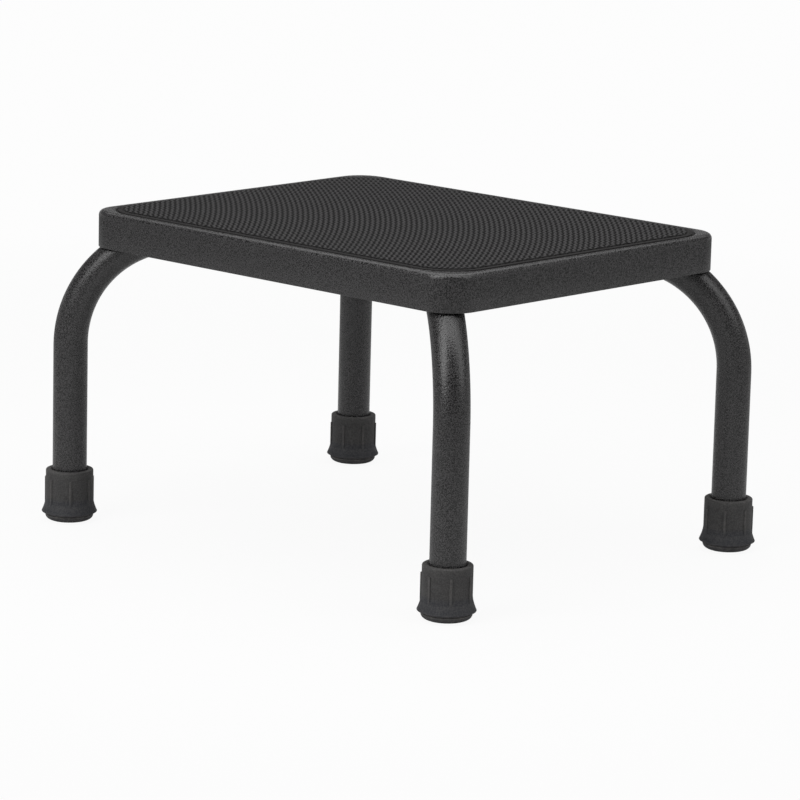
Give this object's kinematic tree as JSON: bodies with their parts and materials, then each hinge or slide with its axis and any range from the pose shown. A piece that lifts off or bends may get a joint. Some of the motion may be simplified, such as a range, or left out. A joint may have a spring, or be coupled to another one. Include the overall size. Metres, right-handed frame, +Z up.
{
  "type": "footstool",
  "caption": "Low step stool with a rubber-topped pressed steel platform on crossed bent-tube legs with ribbed rubber tips.",
  "frame": {"origin": "on the floor under the middle of the platform", "axes": "+X along the platform's long side, +Z up from the floor to the tread"},
  "size_m": [0.4236, 0.3439, 0.2352],
  "materials": {
    "black_coat": "satin black powder coat with a fine leathery texture",
    "tread_rubber": "matt black rubber with a fine raised non-slip pattern",
    "tip_rubber": "matt dark rubber, a little dusty on its edges",
    "steel": "bright zinc plating"
  },
  "bodies": {
    "root": {"platform_pan": "black_coat", "tread_mat": "tread_rubber", "leg_tube_upper": "black_coat", "leg_tube_lower": "black_coat", "foot_tip_front_left": "tip_rubber", "tip_washer_front_left": "steel", "bolt_front_left": "steel", "saddle_washer_front_left": "steel", "nut_front_left": "steel", "foot_tip_front_right": "tip_rubber", "tip_washer_front_right": "steel", "bolt_front_right": "steel", "saddle_washer_front_right": "steel", "nut_front_right": "steel", "foot_tip_rear_right": "tip_rubber", "tip_washer_rear_right": "steel", "bolt_rear_right": "steel", "saddle_washer_rear_right": "steel", "nut_rear_right": "steel", "foot_tip_rear_left": "tip_rubber", "tip_washer_rear_left": "steel", "bolt_rear_left": "steel", "saddle_washer_rear_left": "steel", "nut_rear_left": "steel", "centre_bolt": "steel", "centre_washer": "steel", "centre_nut": "steel"}
  },
  "joints": []
}
